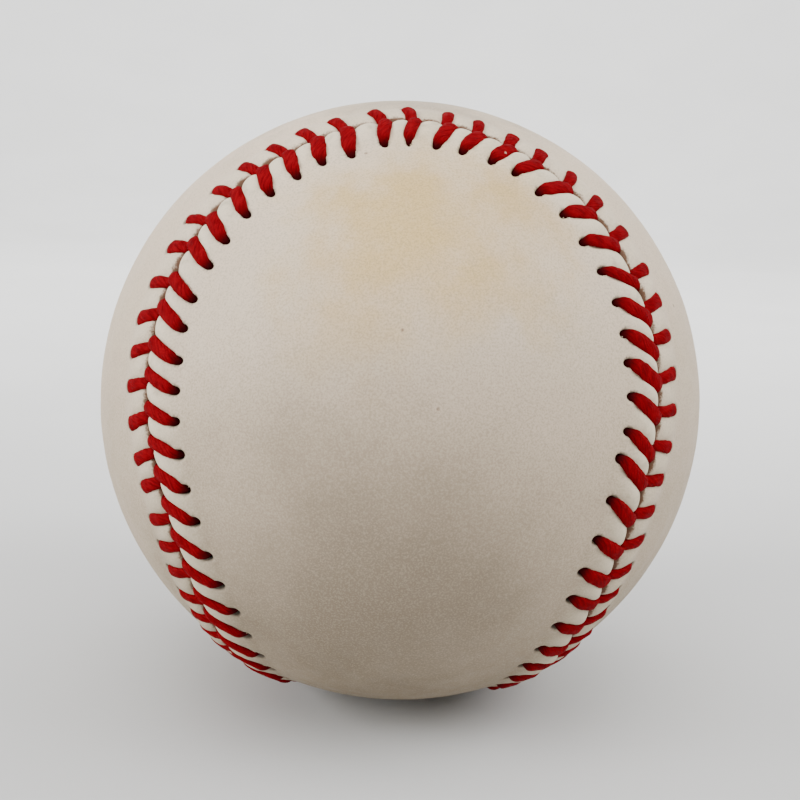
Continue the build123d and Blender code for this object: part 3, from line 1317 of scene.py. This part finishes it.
            # The root sits on the rim of the hole, and the point leans outwards from it.
            root = np.array((at + 0.62 * math.cos(turn), away + 0.5 * math.sin(turn)))
            reach = self.nick_length * draw.uniform(0.5, 1.0)
            tip = root + reach * np.array((-0.3 + math.cos(turn), 0.9 * math.sin(turn)))
            way = tip - root
            across = np.array((-way[1], way[0])) / np.linalg.norm(way)
            first = len(points)
            for share, wide, lift in self.nick_rings:
                for corner in range(4):
                    spin = corner * math.pi / 2
                    beside = 0.5 * self.nick_width * wide * math.cos(spin)
                    above = 0.35 * self.nick_width * wide * math.sin(spin)
                    along, out = root + way * share + across * beside
                    rise = np.array(lift + above)
                    points.append(self.seam.at(np.array(along), np.array(self.side.value * out), rise))
            faces += tube_faces(len(self.nick_rings), 4, first=first)
            faces.append(tuple(first + i for i in (3, 2, 1, 0)))
            faces.append(tuple(first + 8 + i for i in (0, 1, 2, 3)))
        return np.array(points), faces

    def _plain_rise(self, out: np.ndarray) -> np.ndarray:
        """Rise of the leather at a needle hole, before the hole is sunk into it."""
        return self.lip.rise(out, np.full(len(out), 0.5 * (1.0 + self.lip.under_leg)))

    def _lining(self) -> tuple[np.ndarray, Faces, int]:
        """Make the flesh side of the leather, coarser than its outside.

        Returns:
            The points with the edge first, the triangles, and the number of points on the edge.
        """
        count = self.stitching.count
        stitch = np.repeat(np.arange(count), 2)
        half = np.tile((0.0, 0.5), count)
        rows = []
        for distance, lift in self.lining_rows:
            out = np.full(2 * count, distance)
            along, _ = self._cell(stitch, half, out)
            rise = np.full(2 * count, lift - self.thickness)
            rows.append(self.seam.at(along, self.side.value * out, rise))
        inside = self._field(self.inner_spacing, self.lip.foot + self.lining_clear)
        points = np.concatenate((*rows, inside * (self.seam.radius - self.thickness)))
        return points, self._filled(points, 2 * count), 2 * count

    def _edge_faces(self, edge: int, inner_edge: int, base: int) -> Faces:
        """Close the leather's cut edge, from its fine outside to its coarse inside.

        Args:
            edge: number of points on the outside's edge, which come first.
            inner_edge: number of points on the inside's edge.
            base: number of the inside's first point.

        Returns:
            Point numbers of each triangle.
        """
        ratio = edge // inner_edge
        faces = []
        for index in range(edge):
            near = ((index + ratio // 2) // ratio) % inner_edge
            ahead = ((index + 1 + ratio // 2) // ratio) % inner_edge
            after = (index + 1) % edge
            faces.append((index, after, base + near))
            if ahead != near:
                faces.append((after, base + ahead, base + near))
        if self.side is Side.SIDES:
            return faces
        return [face[::-1] for face in faces]

    def _paint_wear_and_shade(
        self, piece: bpy.types.Object, out: np.ndarray, rims: np.ndarray, count: int, nicks: int
    ) -> None:
        """Paint where the leather is cleaner, where its groove by the seam gets soiling and painted shade,
        and where its needle holes get painted shade.

        Args:
            piece: the panel.
            out: distances from the seam of the lip's points, which come first.
            rims: how far they are out of a needle hole.
            count: number of points of the whole panel.
            nicks: number of points of the torn nicks, which come last.
        """
        rest = np.zeros(count - len(out))
        torn = rest.copy()
        torn[len(torn) - nicks :] = self.nick_dirt
        lip = 1.0 - smooth(out, self.clean_from, self.lip.foot)
        # Soiling and painted shade by the seam, reaching further out on the sides panel.
        dirt_and_crease_shade = 1.0 - smooth(out, *self.crease_fade)
        if self.side is Side.SIDES:
            dirt_and_crease_shade = np.maximum(dirt_and_crease_shade, 1.0 - smooth(out, *self.sides_crease_fade))
            lip = self.sides_clean * lip
        # Painted shade in the needle holes.
        hole = 1.0 - smooth(rims, *self.hole_shade_fade)
        paint(piece, "lip", np.concatenate((lip, rest)))
        paint(piece, "dirt_and_crease_shade", np.concatenate((dirt_and_crease_shade, torn)))
        paint(piece, "hole", np.concatenate((hole, rest)))


@dataclass
class Needle(SewnPiece):
    """The thread on one needle, in millimetres: one unbroken run, over and under the leather all round."""

    first: Side
    lips: dict[Side, Lip]
    slot: ClassVar[str] = "red_thread"
    front_width: float = 1.55
    sides_width: float = 1.48
    front_sunk: float = 0.12
    sides_sunk: float = 0.26
    over_edge: float = 0.6
    thickness: float = 0.8
    around: int = 12
    steps: int = 4
    plies: int = 3
    ply_relief: float = 0.05
    wobble: float = 0.09
    wobble_scale: float = 1.9
    ply_turn: float = 3.4
    # The way under the other panel, from the seam to the next hole.
    under_share: float = 0.45
    under_out: float = 2.3
    under_rise: float = -1.5
    hole_slack: float = 0.05
    hole_rise: float = -1.75
    # Where on a leg a speck of lint sits.
    speck_from: float = 0.3
    speck_to: float = 0.4
    speck_turn: float = 1.05

    def _turns(self) -> np.ndarray:
        """The thread's turning points in order.

        Returns:
            Rows of length along the seam, signed offset, rise, width, share of the thickness, how
            deeply the thread is drawn in, which sets its painted shade, and its lint.
        """
        rows = []
        sewn = self.stitching
        for stitch in range(sewn.count):
            side = self.first if stitch % 2 == 0 else self.first.other
            at = float(sewn.hole_at(side, stitch))
            hole = float(sewn.hole_out(side, stitch))
            lean = float(sewn.advance(side, stitch))
            lip = self.lips[side]
            usual, sunk = self.front_width, self.front_sunk
            if side is Side.SIDES:
                usual, sunk = self.sides_width, self.sides_sunk
            fat = usual * float(sewn.leg_width(side, stitch))
            for share, slide, lift, wide, thick, tuck_shade in self._leg(side):
                offset = hole * (1.0 - share)
                along = at + lean * float(sewn.lean(np.array(share))) + slide
                rests_at = np.array(max(offset, self.over_edge))
                leather = float(lip.rise(rests_at, np.array(lip.under_leg)))
                rise = leather + lift * (0.5 * self.thickness * thick - sunk)
                speck = sewn.lint(side, stitch) if self.speck_from < share < self.speck_to else 0.0
                rows.append((along, side.value * offset, rise, wide * fat, thick, tuck_shade, speck))
            # The thread now goes under the other panel to its next hole there.
            next_at = float(sewn.hole_at(side.other, stitch + 1))
            next_hole = float(sewn.hole_out(side.other, stitch + 1))
            seam_at = rows[-1][0]
            under_at = seam_at + self.under_share * (next_at - seam_at)
            rows.append((under_at, -side.value * self.under_out, self.under_rise, 1.0, 0.9, 1.0, 0.0))
            offset = -side.value * (next_hole - self.hole_slack)
            rows.append((next_at, offset, self.hole_rise, 0.9, 0.9, 1.0, 0.0))
        return np.array(rows)

    @staticmethod
    def _leg(side: Side) -> list[tuple[float, float, float, float, float, float]]:
        """One leg from its hole to the seam.

        Args:
            side: the panel that it lies on.

        Returns:
            Rows of the share of the way, slide along the seam, lift off the leather, width, thickness
            and drawn-in shade, the painted shade where it goes into the leather. A front leg ends in a short
            tail that is drawn along the seam.
        """
        if side is Side.SIDES:
            return [
                (-0.02, 0.0, -3.0, 0.80, 0.85, 1.0),
                (0.03, 0.0, -0.6, 0.98, 0.92, 0.6),
                (0.13, 0.0, 0.9, 1.07, 1.0, 0.0),
                (0.36, 0.0, 1.0, 1.03, 1.0, 0.0),
                (0.62, 0.0, 1.0, 0.93, 1.0, 0.0),
                (0.84, 0.0, 1.0, 0.87, 0.98, 0.0),
                (0.97, 0.0, 0.4, 0.82, 0.94, 0.15),
                (1.12, 0.0, -4.0, 0.75, 0.85, 1.0),
            ]
        return [
            (-0.02, 0.0, -3.0, 0.52, 0.85, 1.0),
            (0.03, 0.0, -0.6, 0.68, 0.92, 0.85),
            (0.13, 0.0, 0.9, 0.88, 1.0, 0.12),
            (0.36, 0.0, 1.0, 1.02, 1.0, 0.0),
            (0.62, 0.0, 1.0, 1.04, 1.0, 0.0),
            (0.82, 0.0, 1.1, 1.04, 1.0, 0.0),
            (0.94, 0.08, 0.9, 1.00, 0.96, 0.0),
            (1.02, 0.3, 0.2, 0.80, 0.88, 0.1),
            (1.06, 0.6, -1.2, 0.50, 0.75, 0.6),
            (1.10, 0.75, -4.0, 0.45, 0.65, 1.0),
        ]

    def _run(self) -> np.ndarray:
        """Draw the turning points out to an even, smooth closed run.

        Returns:
            Rows with the same values as the turning points have.
        """
        turns = self._turns()
        lap = np.zeros(turns.shape[1])
        lap[0] = self.seam.length
        padded = np.concatenate((turns[-1:] - lap, turns, turns[:2] + lap))
        share = np.linspace(0.0, 1.0, self.steps, endpoint=False)[None, :, None]
        before, start, end, after = (padded[i : i + len(turns), None, :] for i in range(4))
        bend = 2 * before - 5 * start + 4 * end - after
        twist = 3 * (start - end) + after - before
        curve = start + 0.5 * share * (end - before + share * (bend + share * twist))
        return curve.reshape(-1, turns.shape[1])

    def build(self) -> bpy.types.Object:
        """Make the thread's mesh.

        Returns:
            The thread.
        """
        run = self._run()
        middle = self.seam.at(run[:, 0], run[:, 1], run[:, 2])
        ahead = normalized(np.roll(middle, -1, axis=0) - np.roll(middle, 1, axis=0))
        up = normalized(middle)
        up = normalized(up - ahead * np.einsum("ij,ij->i", up, ahead)[:, None])
        across = np.cross(ahead, up)
        length = np.concatenate(([0.0], np.cumsum(np.linalg.norm(np.diff(middle, axis=0), axis=1))))
        wobble = np.array([noise.noise(Vector((0.0, 3.0, self.wobble_scale * at))) for at in length])
        rings, specks = [], []
        turns = np.linspace(0.0, 2.0 * math.pi, self.around, endpoint=False) - math.pi / 2
        for turn in turns:
            twist = self.plies * turn + 2.0 * math.pi * length / self.ply_turn
            swell = 1.0 + self.ply_relief * np.cos(twist) + self.wobble * wobble
            facing = max(0.0, math.cos(turn - self.speck_turn)) ** 20
            specks.append(np.clip(run[:, 6], 0.0, 1.0) ** 4 * facing)
            wide = 0.5 * run[:, 3] * swell * math.cos(turn)
            tall = 0.5 * self.thickness * run[:, 4] * swell * math.sin(turn)
            rings.append(middle + across * wide[:, None] + up * tall[:, None])
        points = np.stack(rings, axis=1).reshape(-1, 3)
        piece = mesh_object(self.name, points, tube_faces(len(run), self.around, closed=True))
        # Painted shade where the thread goes into a hole or under the leather.
        paint(piece, "tuck_shade", np.clip(np.repeat(run[:, 5], self.around), 0.0, 1.0))
        paint(piece, "lint", np.clip(np.stack(specks, axis=1).ravel(), 0.0, 1.0))
        paint(piece, "strand_along", np.repeat(length, self.around))
        paint(piece, "strand_turn", np.tile((turns + math.pi / 2) / (2.0 * math.pi), len(run)))
        return piece


@dataclass
class Inside:
    """The layers under the cover, which stay as the solids made them and get their own finishes."""

    nodes: dict[str, bpy.types.Object]

    def dress(self) -> None:
        """Give each hidden layer its material."""
        cork = CorkFinish().material()
        black = RubberFinish("black_rubber", (0.018, 0.018, 0.018), (0.05, 0.05, 0.048)).material()
        red = RubberFinish("red_rubber", (0.36, 0.03, 0.02), (0.42, 0.08, 0.06)).material()
        grey = YarnFinish("grey_wool", (0.36, 0.36, 0.36), (0.11, 0.11, 0.115), 1.6).material()
        white = YarnFinish("white_wool", (0.72, 0.69, 0.62), (0.36, 0.33, 0.28), 1.2).material()
        cotton = YarnFinish("cotton_thread", (0.78, 0.76, 0.71), (0.42, 0.40, 0.36), 0.5).material()
        finishes = {
            "cork_core": cork,
            "black_rubber_shell_upper": black,
            "black_rubber_shell_lower": black,
            "red_rubber_gasket": red,
            "red_rubber_jacket": red,
            "grey_wool_winding": grey,
            "white_wool_winding": white,
            "outer_grey_wool_winding": grey,
            "cotton_finish_winding": cotton,
        }
        for node, material in finishes.items():
            layer = self.nodes[node]
            layer.data.materials.clear()
            layer.data.materials.append(material)
            LOG.info("dressed %s in %s", node, material.name)


@dataclass(frozen=True)
class FloorFinish:
    """A pale matt sheet."""

    name: str = "pale_floor"
    light: Colour = (0.61, 0.61, 0.605)
    shade: Colour = (0.59, 0.59, 0.585)
    patch: float = 60.0

    def material(self) -> bpy.types.Material:
        """Build the floor's shader.

        Returns:
            The material.
        """
        tree = NodeTree(self.name)
        share = tree.span(tree.noise(tree.place(), self.patch), 0.3, 0.7)
        colour = tree.mix(share, self.shade, self.light)
        return tree.surface(Base_Color=colour, Roughness=0.9, Specular_IOR_Level=0.1)


@dataclass(frozen=True)
class SoftLight:
    """One square studio light: where it hangs, its side in metres, its watts and what it faces."""

    name: str
    place: Point
    size: float
    power: float
    aim: Point = (0.0, 0.0, 0.0)

    def hang(self) -> None:
        """Put the light in the scene."""
        data = bpy.data.lights.new(self.name, "AREA")
        data.size = self.size
        data.energy = self.power
        light = bpy.data.objects.new(self.name, data)
        light.location = self.place
        facing = Vector(self.aim) - Vector(self.place)
        light.rotation_euler = facing.to_track_quat("-Z", "Y").to_euler()
        bpy.context.scene.collection.objects.link(light)


@dataclass
class Studio:
    """The pale floor, the soft lights and the camera at the photograph's angle, in metres and degrees.

    The camera's distance is in radii of the ball, whose radius is in millimetres. The picture's width and
    the ball's radius in it are in pixels.
    """

    floor_at: float
    ball_radius: float = 37.0
    camera_azimuth: float = -0.8
    camera_elevation: float = 12.8
    camera_roll: float = 2.2
    camera_distance: float = 4.14
    picture: float = 800.0
    ball_in_picture: float = 299.6
    sweep_from: float = 0.6
    sweep_radius: float = 0.5
    sweep_sides: int = 96
    sweep_steps: int = 24
    wall_top: float = 0.9
    flat_rings: tuple[float, ...] = (0.08, 0.25)
    sensor: float = 36.0
    room_light: float = 0.45
    soft_lights: tuple[SoftLight, ...] = (
        SoftLight("top_light", (-0.02, -0.19, 0.33), 0.3, 1.15),
        SoftLight("left_light", (-0.65, -0.2, 0.24), 0.3, 5.2),
        SoftLight("right_light", (0.5, -0.15, 0.42), 0.4, 3.5),
        SoftLight("backdrop_light", (0.0, 0.4, 0.55), 0.8, 14.0, (0.0, 1.0, 0.05)),
    )

    def floor(self) -> bpy.types.Object:
        """Make the round floor that the ball lies on, swept up all round it.

        Returns:
            The floor.
        """
        base, bend = self.floor_at, self.sweep_radius
        profile = [(radius, base) for radius in (*self.flat_rings, self.sweep_from)]
        for turn in np.linspace(0.0, math.pi / 2, self.sweep_steps)[1:]:
            profile.append((self.sweep_from + bend * math.sin(turn), base + bend * (1.0 - math.cos(turn))))
        profile.append((self.sweep_from + bend, self.wall_top))
        around = np.linspace(0.0, 2.0 * math.pi, self.sweep_sides, endpoint=False)
        points = [(r * math.cos(turn), r * math.sin(turn), z) for r, z in profile for turn in around]
        rings = [face[::-1] for face in tube_faces(len(profile), self.sweep_sides)]
        floor = mesh_object("floor", np.array(points) / MM, [tuple(range(self.sweep_sides)), *rings])
        floor.data.materials.append(FloorFinish().material())
        return floor

    def lights(self) -> None:
        """Hang the soft lights and set the even light of the room."""
        world = bpy.data.worlds.new("white_room")
        world.use_nodes = True
        background = world.node_tree.nodes["Background"]
        background.inputs["Color"].default_value = (1.0, 1.0, 1.0, 1.0)
        background.inputs["Strength"].default_value = self.room_light
        bpy.context.scene.world = world
        for light in self.soft_lights:
            light.hang()

    def camera(self) -> None:
        """Stand the camera where the photograph was taken."""
        data = bpy.data.cameras.new("camera")
        focal = self.ball_in_picture * math.sqrt(self.camera_distance**2 - 1.0) / self.picture
        data.sensor_width = self.sensor
        data.lens = focal * self.sensor
        data.clip_start = 0.01
        data.clip_end = 20.0
        camera = bpy.data.objects.new("camera", data)
        back = Vector(unit(self.camera_elevation, self.camera_azimuth))
        aim = (-back).to_track_quat("-Z", "Y").to_matrix().to_4x4()
        roll = Matrix.Rotation(math.radians(self.camera_roll), 4, "Z")
        place = Matrix.Translation(back * (self.camera_distance * self.ball_radius * MM))
        camera.matrix_world = place @ aim @ roll
        bpy.context.scene.collection.objects.link(camera)
        bpy.context.scene.camera = camera


def main() -> None:
    """Build and dress the ball, then light it."""
    logging.basicConfig(level=logging.INFO, format="%(name)s: %(message)s")
    seam = Seam()
    stitching = Stitching(seam)
    lips = {
        Side.FRONT: Lip(crest_at=1.4, crest_rise=0.9, under_leg=0.36),
        Side.SIDES: Lip(crest_at=1.7, crest_rise=0.66, under_leg=0.3),
    }
    leather, red = LeatherFinish().material(), ThreadFinish().material()
    panels = (
        ("front_panel", "leather_panel_front", Side.FRONT),
        ("side_panel", "leather_panel_sides", Side.SIDES),
    )
    threads = (
        ("first_needle_thread", "red_thread_first_needle", Side.FRONT),
        ("second_needle_thread", "red_thread_second_needle", Side.SIDES),
    )
    cover = []
    for name, node, side in panels:
        cover.append((LeatherPanel(name, node, seam, stitching, side, lips[side]), leather))
    for name, node, side in threads:
        cover.append((Needle(name, node, seam, stitching, side, lips), red))
    for sewn, finish in cover:
        piece = sewn.build()
        sewn.dress(piece, finish)
        LOG.info("built %s with %d faces", piece.name, len(piece.data.polygons))
    Inside(frame["nodes"]).dress()
    studio = Studio(floor_at=CAD_BOX[0][2])
    studio.floor()
    studio.lights()
    studio.camera()


if __name__ == "__main__":
    main()
